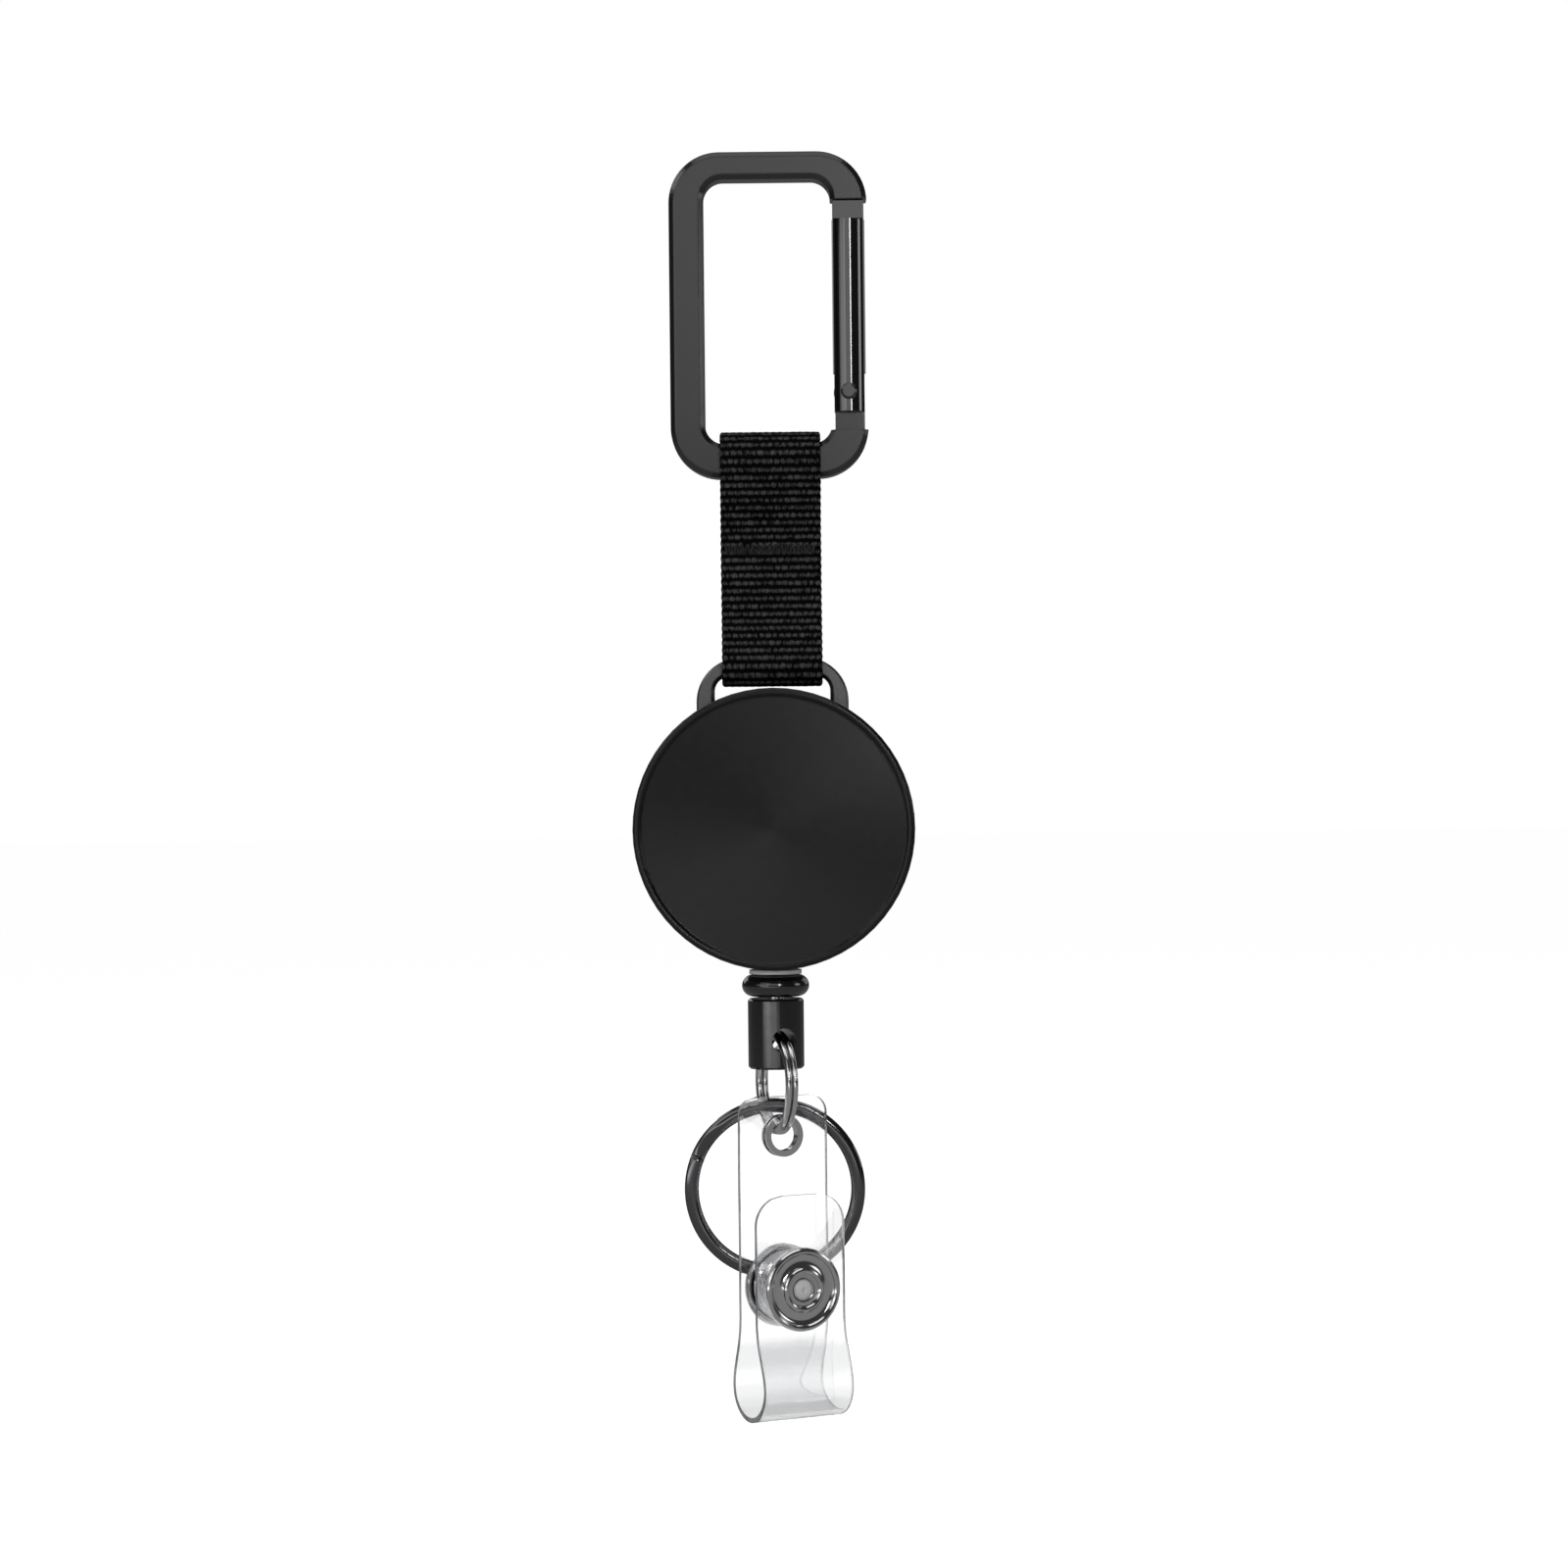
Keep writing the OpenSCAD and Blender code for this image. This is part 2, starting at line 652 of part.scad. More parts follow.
module badge_strap_flap() {
    color("#dfe6ea", 0.6) badge_frame() difference() {
        union() {
            translate([0, -badge_gap, 0]) upright(badge_t) {
                round_rect(-badge_w / 2, badge_w / 2, bend_z, flap_top, flap_corner_r);
                translate([-badge_w / 2, bend_z]) square([badge_w, flap_corner_r]);
            }
            sideways(badge_w) {
                strip([[-badge_gap, bend_z + 0.5], [-badge_gap, bend_z], [hinge_y, fold_z]]);
                translate([hinge_y, fold_z]) circle(r = hinge_r);
            }
        }
        translate([0, 0, snap_z]) bar_y(snap_hole_r, -badge_gap - 1, -badge_gap + 1);
    }
}

module strap_eyelet() {
    color("#b4b5b8") badge_frame() translate([0, 0, eyelet_z]) turned() {
        translate([eyelet_r, -badge_t / 2 - eyelet_flange_t])
            square([0.28, badge_t + 2 * eyelet_flange_t]);
        for (y = [-badge_t / 2 - eyelet_flange_t, badge_t / 2])
            translate([eyelet_r, y]) square([eyelet_flange_r - eyelet_r, eyelet_flange_t]);
    }
}

module snap_cap() {
    r = snap_cap_dia / 2;
    color("#c4c5c9") badge_frame() translate([0, 0, snap_z]) turned()
        polygon(concat([[0, -back_y], [snap_hole_r - slim, -back_y], [snap_hole_r - slim, back_y],
            [r, back_y], [r, back_y + cap_rim_h]],
            [for (i = [1 : 5]) [r * (1 - i / 5), back_y + cap_rim_h + (cap_h - cap_rim_h) * sin(18 * i)]]));
}

module snap_socket() {
    top = -badge_t / 2;
    color("#b4b5b8") badge_frame() translate([0, 0, snap_z]) turned()
        polygon([[snap_hole_r, top], [snap_hole_r, top - 0.3], [socket_hole_r, top - 0.5],
            [socket_hole_r, top - socket_h], [socket_r - 1.6, top - socket_h],
            [socket_r - 1, top - socket_h + 1.4], [socket_r, top - 0.6], [socket_r, top]]);
}

module snap_stud() {
    base = -badge_gap + badge_t / 2;
    color("#b4b5b8") badge_frame() translate([0, 0, snap_z]) turned()
        polygon([[snap_hole_r - 0.7, base], [stud_base_r, base], [stud_base_r, base + 0.5],
            [stud_r, base + stud_base_h], [stud_r, stud_tip_y - 0.5], [stud_r - 0.4, stud_tip_y],
            [snap_hole_r - 0.7, stud_tip_y]]);
}

module snap_ring() {
    inner = -badge_gap + badge_t / 2 - slim;
    dish = front_y - snap_dish_h;
    rim_y = front_y - 0.45;
    core_y = front_y - snap_core_h + snap_bead_r;
    rim = [for (i = [0 : 6])
        [snap_ring_r - snap_rim_r * (1 - cos(30 * i)), rim_y - snap_rim_r * sin(30 * i)]];
    core = [for (i = [0 : 6])
        [snap_core_r - snap_bead_r * (1 - cos(30 * i)), core_y - snap_bead_r * sin(30 * i)]];
    color("#c4c5c9") badge_frame() translate([0, 0, snap_z]) turned()
        polygon(concat([[snap_bore_r - 0.3, inner], [snap_hole_r - slim, inner],
            [snap_hole_r - slim, front_y], [snap_ring_r, front_y]], rim,
            [[snap_ring_r - 2 * snap_rim_r - 0.1, dish], [snap_core_r + 0.1, dish - 0.05]], core,
            [[snap_bore_r, core_y], [snap_bore_r, front_y - 0.2], [snap_bore_r - 0.3, front_y]]));
}

carabiner_frame();
gate_rivet();
carabiner_gate();
gate_plunger();
gate_spring();
webbing_strap();
neck_ring();
front_cover();
rear_shell();
center_post();
thrust_washer();
housing_screws();
outlet_bushing();
spool_drum();
spring_cover();
clock_spring();
cord_winding();
cord_lead();
stop_bead();
cord_crimp();
swivel_pin();
swivel_barrel();
link_ring();
split_ring();
badge_strap_back();
strap_eyelet();
snap_cap();
snap_socket();
badge_strap_flap();
snap_stud();
snap_ring();
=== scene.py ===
import json
import math
import bmesh
import bpy
from mathutils import Matrix, Vector, noise


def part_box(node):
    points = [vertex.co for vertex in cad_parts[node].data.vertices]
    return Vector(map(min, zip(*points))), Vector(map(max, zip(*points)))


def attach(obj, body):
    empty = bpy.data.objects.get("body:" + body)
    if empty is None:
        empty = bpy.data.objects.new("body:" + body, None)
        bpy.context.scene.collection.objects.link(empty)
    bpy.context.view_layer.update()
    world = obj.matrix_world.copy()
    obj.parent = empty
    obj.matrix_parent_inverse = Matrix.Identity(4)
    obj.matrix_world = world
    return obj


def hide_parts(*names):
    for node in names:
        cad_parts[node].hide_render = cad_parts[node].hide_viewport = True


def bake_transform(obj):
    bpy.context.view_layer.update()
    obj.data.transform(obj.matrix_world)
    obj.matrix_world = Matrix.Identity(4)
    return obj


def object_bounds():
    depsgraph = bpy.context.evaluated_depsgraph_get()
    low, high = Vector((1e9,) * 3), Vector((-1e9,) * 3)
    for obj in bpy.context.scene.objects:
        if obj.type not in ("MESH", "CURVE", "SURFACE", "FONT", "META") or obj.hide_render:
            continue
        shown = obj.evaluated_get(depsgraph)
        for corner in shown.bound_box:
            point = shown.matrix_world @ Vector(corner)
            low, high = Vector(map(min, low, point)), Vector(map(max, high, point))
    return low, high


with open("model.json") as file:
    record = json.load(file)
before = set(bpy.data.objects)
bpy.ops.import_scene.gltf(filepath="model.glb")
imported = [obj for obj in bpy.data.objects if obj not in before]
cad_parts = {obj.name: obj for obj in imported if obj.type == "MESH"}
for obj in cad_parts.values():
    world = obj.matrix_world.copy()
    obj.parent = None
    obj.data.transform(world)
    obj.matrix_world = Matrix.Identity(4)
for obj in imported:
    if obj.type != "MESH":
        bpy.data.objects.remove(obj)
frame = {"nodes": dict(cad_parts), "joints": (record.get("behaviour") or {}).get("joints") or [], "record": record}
cad_low, cad_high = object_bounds()

MM = 0.001
JOINTS = {joint["name"]: joint for joint in frame["joints"]}
UP = Vector((0, 0, 1))

# Camera: the frame shows this height at the depth of the strap
LENS_MM = 83.5
SENSOR_MM = 36
FRAME_HEIGHT = 224 * MM
AXIS_OFFSET = 1.5 * MM
CAMERA_ROLL = math.radians(-0.6)

# Light that the object reflects: the room, and the floor's glow in reflections and seen directly
ROOM_LIGHT = 0.05
FLOOR_GLOW = (0.1, 0.97)
FLOOR_GAP = 3 * MM
FLOOR_HALF = 6

# Lights: name, azimuth and elevation in degrees, distance, width and height in metres, radiance
LIGHTS = [
    ("key", -40, 14, 0.6, 0.36, 0.5, 0.6),
    ("front_band", -10, 18, 0.6, 0.46, 0.2, 0.85),
    ("gate_band", -49, 11, 0.6, 0.44, 0.12, 0.7),
    ("gate_strip", 14, 14, 0.6, 0.035, 0.2, 18),
    ("barrel_band", -13, -11, 0.36, 0.36, 0.03, 0.8),
    ("bead_band", -24, -5, 0.6, 0.6, 0.05, 1.3),
    ("left_rim", -85, 42, 0.6, 0.25, 0.25, 2),
    ("right_rim", 82, 9.7, 0.6, 0.2, 0.16, 2),
    ("top", 0, 78, 0.5, 0.5, 0.4, 1.2),
    ("back_left", -150, 25, 0.7, 0.4, 0.5, 0.9),
    ("back_right", 140, 20, 0.7, 0.4, 0.5, 0.6),
]

# Noise values between these are spread over a material's whole range
NOISE_LOW, NOISE_HIGH = 0.3, 0.7

# Webbing strap
WEBBING_WIDTH = 14.3 * MM
WEBBING_THICK = 1.1 * MM
BAR_LOOP_R = 3.72 * MM
NECK_LOOP_R = 2.32 * MM
LAYERS_MEET = 10 * MM
LAYERS_PART = 6.5 * MM
LAYER_CLEARANCE = 0.02 * MM
RIB_PITCH = 1.1 * MM
YARN_PITCH = 0.95 * MM
RIB_HEIGHT = 0.24 * MM
WEAVE_STEP = 0.165 * MM

# Stitches across the strap
THREAD_R = 0.2 * MM
STITCH_PITCH = 0.4 * MM
STITCH_SINK = 0.08 * MM
STITCH_ARCH = 0.1 * MM
BARTACK_DROP = 12.6 * MM
BARTACK_HEIGHT = 1.5 * MM
BARTACK_MARGIN = 0.6 * MM

# Clear strap
BADGE_WIDTH = 14 * MM
BADGE_THICK = 0.7 * MM
BADGE_GAP = 4.9 * MM
BADGE_RISE = 4.61 * MM
BADGE_CORNER = 2.6 * MM
BADGE_STEP = 0.35 * MM
FLAP_CORNER = 4.2 * MM
FOLD_R = 5 * MM
FOLD_SHIFT = 0.1 * MM
SNAP_CLEAR = 6.1 * MM
FLAP_RISE = 26.85 * MM
EYELET_HOLE_R = 2.4 * MM
SNAP_HOLE_R = 1.84 * MM
EDGE_ROUND = 0.07 * MM
CRUMPLE_AT = 1.5 * MM
CRUMPLE_REACH = 3.2 * MM
CRUMPLE_HEIGHT = 0.22 * MM
BOW_HEIGHT = 0.1 * MM

# Painted grey shade on the clear strap's fold, by millimetres below where it bends: from, to and
# strength of each rise, and the place, width and strength of a lighter band, a painted highlight
FOLD_SHADE_RISES = ((0, 2.5, 0.82), (9, 12, 0.16))
FOLD_HIGHLIGHT_BAND = (6.8, 1.2, 0.3)

# Snap: profiles of radius and height
SNAP_FACE_AT = 0.35 * MM
SNAP_SKIN = 0.25 * MM
SNAP_DISH = [(r * MM, h * MM) for r, h in (
    (0.02, 0.1), (0.6, 0.09), (1.1, 0.04), (1.5, -0.1))]
SNAP_FACE = [(r * MM, h * MM) for r, h in (
    (1.5, -0.3), (1.8, -0.28), (2.2, -0.1), (2.5, 0.15), (2.65, 0.28), (2.8, 0.3), (2.95, 0.22), (3.1, 0),
    (3.4, -0.22), (3.9, -0.34), (4.4, -0.34), (4.8, -0.26), (5.05, -0.05), (5.2, 0.12), (5.35, 0.12),
    (5.5, -0.05))]

# Rings of coiled wire. A section is the wire's width and height, and its shape is 0 for square and 1 for
# round. Angles are in degrees, over two turns.
LINK_R = 6.8 * MM
LINK_SECTION = (1.3 * MM, 0.86 * MM)
SPLIT_R = 11.95 * MM
SPLIT_SECTION = (2 * MM, 0.86 * MM)
COIL_STEP = 0.93 * MM
WIRE_SHAPE = 0.95
COIL_FROM, COIL_TO = 14, 706
JOG_FROM, JOG_TO = 346, 374

# Cord
CORD_R = 0.45 * MM
CORD_ROUTE = [(6.8, -12.75), (5.6, -13.4), (4.4, -14.05), (3.2, -14.7), (2.2, -15.25), (1.4, -15.75),
              (0.8, -16.3), (0.35, -17), (0.1, -17.8), (0, -18.6), (0, -20), (0, -21.6)]

# Wound cord
WIND_R = 11.5 * MM
WIND_PITCH = 0.76 * MM
WIND_TURNS = 8
LAYER_TURNS = 2.7
LAYER_RISE = 0.9 * MM


def pivot(joint):
    return Vector(JOINTS[joint]["pos_m"])


def axis(joint):
    return Vector(JOINTS[joint]["axis"]).normalized()


def centre(node):
    low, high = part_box(node)
    return (low + high) / 2


# ---------------------------------------------------------------- materials

def new_material(name, color, metallic=0.0, roughness=0.5, **sockets):
    mat = bpy.data.materials.new(name)
    mat.use_nodes = True
    bsdf = mat.node_tree.nodes["Principled BSDF"]
    bsdf.inputs["Base Color"].default_value = (*color, 1)
    bsdf.inputs["Metallic"].default_value = metallic
    bsdf.inputs["Roughness"].default_value = roughness
    for socket, value in sockets.items():
        bsdf.inputs[socket.replace("_", " ")].default_value = value
    return mat


def add_node(mat, kind, **inputs):
    node = mat.node_tree.nodes.new(kind)
    for socket, value in inputs.items():
        node.inputs[socket.replace("_", " ")].default_value = value
    return node


def join(mat, source, target):
    mat.node_tree.links.new(source, target)


def noise_value(mat, scale, detail=3.0, stretch=(1, 1, 1)):
    """A noise over the object's own coordinates, scaled per metre."""
    place = add_node(mat, "ShaderNodeTexCoord")
    mapping = add_node(mat, "ShaderNodeMapping", Scale=stretch)
    cloud = add_node(mat, "ShaderNodeTexNoise", Scale=scale, Detail=detail)
    join(mat, place.outputs["Object"], mapping.inputs["Vector"])
    join(mat, mapping.outputs["Vector"], cloud.inputs["Vector"])
    return cloud.outputs["Fac"]


def map_value(mat, value, low, high, from_low=NOISE_LOW, from_high=NOISE_HIGH):
    node = add_node(mat, "ShaderNodeMapRange", From_Min=from_low, From_Max=from_high,
                    To_Min=low, To_Max=high)
    join(mat, value, node.inputs["Value"])
    return node.outputs["Result"]


def add_bump(mat, value, distance, strength=1.0):
    """Adds a bump of this height in metres under any that the material already has."""
    bsdf = mat.node_tree.nodes["Principled BSDF"]
    bump = add_node(mat, "ShaderNodeBump", Strength=strength, Distance=distance)
    join(mat, value, bump.inputs["Height"])
    if bsdf.inputs["Normal"].links:
        join(mat, bsdf.inputs["Normal"].links[0].from_socket, bump.inputs["Normal"])
    join(mat, bump.outputs["Normal"], bsdf.inputs["Normal"])


def round_edges(mat, radius):
    """Shades edges and facets as if they were blended over this radius."""
    bevel = mat.node_tree.nodes.new("ShaderNodeBevel")
    bevel.samples = 6
    bevel.inputs["Radius"].default_value = radius
    join(mat, bevel.outputs["Normal"], mat.node_tree.nodes["Principled BSDF"].inputs["Normal"])


def vary_roughness(mat, scale, low, high, stretch=(1, 1, 1)):
    rough = map_value(mat, noise_value(mat, scale, 4, stretch), low, high)
    join(mat, rough, mat.node_tree.nodes["Principled BSDF"].inputs["Roughness"])


def vary_color(mat, value, dark, light):
    ramp = add_node(mat, "ShaderNodeValToRGB")
    ramp.color_ramp.elements[0].position = NOISE_LOW
    ramp.color_ramp.elements[1].position = NOISE_HIGH
    ramp.color_ramp.elements[0].color = (*dark, 1)
    ramp.color_ramp.elements[1].color = (*light, 1)
    join(mat, value, ramp.inputs["Fac"])
    join(mat, ramp.outputs["Color"], mat.node_tree.nodes["Principled BSDF"].inputs["Base Color"])


def anodised(name, shade, rough_low, rough_high):
    """Dyed anodised aluminium: a dark metal with a very fine blasted grain."""
    mat = new_material(name, (shade, shade, shade * 1.03), 0.9, rough_low)
    vary_color(mat, noise_value(mat, 6000, 3), (shade * 0.9,) * 3, (shade * 1.1,) * 3)
    vary_roughness(mat, 5000, rough_low, rough_high)
    round_edges(mat, 0.3 * MM)
    add_bump(mat, noise_value(mat, 9000, 2), 0.002 * MM, 0.5)
    return mat


def moulded(name, shade, rough_low, rough_high):
    """Satin moulded plastic with a fine even grain and faint flow marks."""
    mat = new_material(name, (shade,) * 3, 0.0, rough_low, Specular_IOR_Level=0.4)
    vary_color(mat, noise_value(mat, 260, 4), (shade * 0.85,) * 3, (shade * 1.15,) * 3)
    vary_roughness(mat, 700, rough_low, rough_high)
    round_edges(mat, 0.5 * MM)
    add_bump(mat, noise_value(mat, 5200, 3), 0.006 * MM, 0.5)
    return mat


def plated(name, color, rough_low, rough_high, grain=(1, 1, 1)):
    """Plated metal with fine polishing marks."""
    mat = new_material(name, color, 1.0, rough_low)
    vary_roughness(mat, 2200, rough_low, rough_high, grain)
    add_bump(mat, noise_value(mat, 3800, 3, grain), 0.002 * MM, 0.5)
    return mat


def gloss_coat(name, shade):
    """Black plating with a wet gloss and a slight orange-peel."""
    mat = new_material(name, (shade,) * 3, 0.0, 0.13, Specular_IOR_Level=1.0)
    vary_roughness(mat, 900, 0.11, 0.17)
    add_bump(mat, noise_value(mat, 1500, 2), 0.002 * MM, 0.3)
    return mat


def fibre(name, dark, light, hollow_shade_attribute=None):
    """Dyed nylon yarn. The attribute, where the mesh has it, is the height of each yarn's crown, from which the
    colour paints shade: dark in the weave's hollows, light on the crowns.
    """
    mat = new_material(name, dark, 0.0, 0.55, Specular_IOR_Level=0.04)
    fuzz = noise_value(mat, 4200, 4, (1, 1, 0.35))
    if hollow_shade_attribute:
        crown = add_node(mat, "ShaderNodeAttribute")
        crown.attribute_name = hollow_shade_attribute
        blend = add_node(mat, "ShaderNodeMath")
        blend.operation = "MULTIPLY"
        join(mat, crown.outputs["Fac"], blend.inputs[0])
        join(mat, map_value(mat, fuzz, 0.72, 1.05), blend.inputs[1])
        height = map_value(mat, blend.outputs["Value"], 0.3, 0.7, 0.66, 0.97)
        # Painted shade: the yarn's colour runs from dark in the hollows to light on the crowns
        vary_color(mat, height, dark, light)
    else:
        vary_color(mat, fuzz, dark, light)
    add_bump(mat, fuzz, 0.05 * MM, 0.7)
    return mat


def clear_vinyl():
    """Clear soft vinyl, which is nearly unseen where flat, with painted grey shade and a painted highlight band
    where it bends.
    """
    mat = new_material("clear_vinyl", (0.95, 0.965, 0.975), 0.0, 0.05,
                       Transmission_Weight=1.0, IOR=1.45)
    bsdf = mat.node_tree.nodes["Principled BSDF"]
    vary_roughness(mat, 420, 0.03, 0.09)
    add_bump(mat, noise_value(mat, 190, 3), 0.03 * MM, 0.3)
    facing = add_node(mat, "ShaderNodeLayerWeight", Blend=0.35)
    thin = map_value(mat, facing.outputs["Facing"], 0.22, 1.0, 0.1, 0.8)
    # Painted shade and highlight at the fold: the attribute greys the vinyl and makes it less clear there
    fold_shade_and_highlight = add_node(mat, "ShaderNodeAttribute")
    fold_shade_and_highlight.attribute_name = "fold_shade_and_highlight"
    solid = add_node(mat, "ShaderNodeMath")
    solid.operation = "MAXIMUM"
    join(mat, thin, solid.inputs[0])
    join(mat, fold_shade_and_highlight.outputs["Fac"], solid.inputs[1])
    join(mat, solid.outputs["Value"], bsdf.inputs["Alpha"])
    fold_shade_tint = add_node(mat, "ShaderNodeMix")
    fold_shade_tint.data_type = "RGBA"
    fold_shade_tint.inputs["A"].default_value = (0.97, 0.975, 0.98, 1)
    fold_shade_tint.inputs["B"].default_value = (0.72, 0.725, 0.73, 1)
    join(mat, fold_shade_and_highlight.outputs["Fac"], fold_shade_tint.inputs["Factor"])
    join(mat, fold_shade_tint.outputs["Result"], bsdf.inputs["Base Color"])
    return mat


def vinyl_edge():
    """The cut edge of the vinyl, where light caught inside it makes a grey line."""
    mat = new_material("vinyl_edge", (0.3, 0.3, 0.31), 0.0, 0.3, Transmission_Weight=0.5, IOR=1.45)
    grain = noise_value(mat, 1600, 3, (1, 1, 0.3))
    vary_color(mat, grain, (0.2, 0.2, 0.21), (0.42, 0.42, 0.43))
    add_bump(mat, grain, 0.02 * MM, 0.4)
    return mat


# Nodes that look unlike the rest of their slot; the outlet bushing's white is a painted highlight
NODE_MATERIALS = {"outlet_bushing": "outlet_highlight_white", "snap_ring": "snap_nickel"}

MATERIALS = {
    "anodised_black": anodised("anodised_black", 0.075, 0.2, 0.25),
    "gate_black": plated("gate_black", (0.115, 0.115, 0.118), 0.08, 0.11, (1, 1, 0.08)),
    "ring_black": anodised("ring_black", 0.13, 0.3, 0.38),
    "housing": moulded("housing", 0.003, 0.24, 0.27),
    "gloss_black": gloss_coat("gloss_black", 0.004),
    "rivet_steel": plated("rivet_steel", (0.09, 0.09, 0.092), 0.25, 0.4),
    "spring_steel": plated("spring_steel", (0.48, 0.48, 0.47), 0.25, 0.42),
    "nickel": plated("nickel", (0.72, 0.72, 0.73), 0.08, 0.18),
    "chrome_wire": plated("chrome_wire", (0.62, 0.62, 0.63), 0.08, 0.2),
    "dark_chrome": plated("dark_chrome", (0.13, 0.13, 0.135), 0.07, 0.12),
    "crimp_brass": plated("crimp_brass", (0.6, 0.42, 0.16), 0.25, 0.4),
    "spool_plastic": moulded("spool_plastic", 0.62, 0.4, 0.5),
    "cord": fibre("cord", (0.008,) * 3, (0.03,) * 3),
    # The webbing's darkness between its ribs is painted shade, from the mesh's crown heights
    "webbing": fibre("webbing", (0.0003,) * 3, (0.09, 0.09, 0.093), "crown"),
    # Painted highlight: a white finish for the bright line at the reel's outlet
    "outlet_highlight_white": moulded("outlet_highlight_white", 0.85, 0.3, 0.4),
    # Painted light: a pale finish for the white seen through the snap's hollow rivet
    "see_through_light_satin": moulded("see_through_light_satin", 0.8, 0.2, 0.3),
    "snap_nickel": plated("snap_nickel", (0.58, 0.58, 0.59), 0.08, 0.16),
    "thread": fibre("thread", (0.01,) * 3, (0.05,) * 3),
    "clear_vinyl": clear_vinyl(),
    "vinyl_edge": vinyl_edge(),
}


def finish_nodes():
    """Every CAD node gets the detailed material of its slot."""
    for part in frame["record"]["subparts"]:
        mesh = frame["nodes"][part["node"]].data
        mesh.materials.clear()
        mesh.materials.append(MATERIALS[NODE_MATERIALS.get(part["node"], part["material_slot"])])


# ---------------------------------------------------------------- mesh helpers

def new_piece(name, verts, faces, material):
    mesh = bpy.data.meshes.new(name)
    mesh.from_pydata([tuple(v) for v in verts], [], faces)
    mesh.update()
    mesh.shade_smooth()
    mesh.materials.append(MATERIALS[material])
    piece = bpy.data.objects.new(name, mesh)
    bpy.context.scene.collection.objects.link(piece)
    return piece


def grid_faces(rows, columns, close_rows=False, close_columns=True):
    """Quads between rows of vertices, with each row closed into a ring where asked."""
    faces = []
    for i in range(rows if close_rows else rows - 1):
        for j in range(columns if close_columns else columns - 1):
            a, b = i * columns, (i + 1) % rows * columns
            n = (j + 1) % columns
            faces.append((a + j, a + n, b + n, b + j))
    return faces


def squared(value):
    """A sine or cosine, drawn a little towards a square's side."""
    return math.copysign(abs(value) ** WIRE_SHAPE, value)


def crowned_section(width, height, steps=28):
    """A flattened wire's outline, between a rectangle and an ellipse."""
    points = []
    for i in range(steps):
        a = 2 * math.pi * i / steps
        points.append((squared(math.cos(a)) * width / 2, squared(math.sin(a)) * height / 2))
    return points


def round_section(radius, steps=10):
    return [(radius * math.cos(2 * math.pi * i / steps), radius * math.sin(2 * math.pi * i / steps))
            for i in range(steps)]


def sweep(name, stations, section, material):
    """Carries a section along stations of (place, across, along), and closes its ends."""
    verts = [p + u * a + v * b for p, u, v in stations for a, b in section]
    count, size = len(stations), len(section)
    faces = grid_faces(count, size)
    faces += [tuple(range(size - 1, -1, -1)), tuple(range((count - 1) * size, count * size))]
    piece = new_piece(name, verts, faces, material)
    tidy_normals(piece)
    return piece


def tidy_normals(piece):
    """Turns every face outward."""
    bm = bmesh.new()
    bm.from_mesh(piece.data)
    bmesh.ops.recalc_face_normals(bm, faces=bm.faces)
    bm.to_mesh(piece.data)
    bm.free()


def smooth_step(value, low, high):
    """Rises smoothly from 0 at low to 1 at high."""
    t = min(max((value - low) / (high - low), 0), 1)
    return t * t * (3 - 2 * t)


# ---------------------------------------------------------------- split rings

def coiled_ring(name, middle, normal, start, radius, section, material, node, body):
    """Two turns of flat wire side by side, with a jog where one turn passes to the other."""
    across = start.cross(normal).normalized()
    first, last = math.radians(COIL_FROM), math.radians(COIL_TO)
    steps = 260
    stations = []
    for i in range(steps + 1):
        t = first + (last - first) * i / steps
        out = start * math.cos(t) + across * math.sin(t)
        side = -0.5 + smooth_step(math.degrees(t), JOG_FROM, JOG_TO)
        stations.append((middle + out * radius + normal * (side * COIL_STEP), out, normal))
    ring = sweep(name, stations, crowned_section(*section), material)
    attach(ring, body)
    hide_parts(node)


def make_rings():
    """The bright link ring and the large dark split ring."""
    swing = axis("link_swing")
    coiled_ring("link_ring_coil", centre("link_ring"), swing.cross(UP).normalized(), -UP, LINK_R,
                LINK_SECTION, "chrome_wire", "link_ring", "link")
    coiled_ring("split_ring_coil", centre("split_ring"), Vector((0, 1, 0)),
                Vector((-0.8, 0, 0.6)), SPLIT_R, SPLIT_SECTION, "dark_chrome", "split_ring", "key_ring")


# ---------------------------------------------------------------- webbing strap

def loop_side(top, radius, meet):
    """Where the straight run from a loop leaves the loop, as an angle below its middle."""
    low, high = 0.0, math.radians(60)
    for _ in range(40):
        mid = (low + high) / 2
        run = (meet - radius * math.sin(mid)) / math.cos(mid)
        if radius * math.cos(mid) - run * math.sin(mid) > top:
            low = mid
        else:
            high = mid
    return (low + high) / 2


def webbing_outline():
    """The middle line of the strap's front half in Y and Z, from the top of one loop to the bottom."""
    bar, neck = pivot("strap_swing").z, pivot("neck_swing").z
    half = WEBBING_THICK / 2 + LAYER_CLEARANCE
    upper = loop_side(half, BAR_LOOP_R, LAYERS_MEET)
    lower = loop_side(half, NECK_LOOP_R, LAYERS_PART)
    line = []
    for i in range(25):
        a = (math.pi / 2 + upper) * i / 24
        line.append((-BAR_LOOP_R * math.sin(a), bar + BAR_LOOP_R * math.cos(a)))
    line += [(-half, bar - LAYERS_MEET), (-half, neck + LAYERS_PART)]
    for i in range(25):
        a = (math.pi / 2 + lower) * (1 - i / 24)
        line.append((-NECK_LOOP_R * math.sin(a), neck - NECK_LOOP_R * math.cos(a)))
    return line


def resample(line, step):
    """Points at even steps along a line."""
    out, left = [Vector(line[0])], step
    for a, b in zip(line, line[1:]):
        a, b = Vector(a), Vector(b)
        length = (b - a).length
        while left <= length:
            out.append(a.lerp(b, left / length))
            left += step
        left -= length
    return out


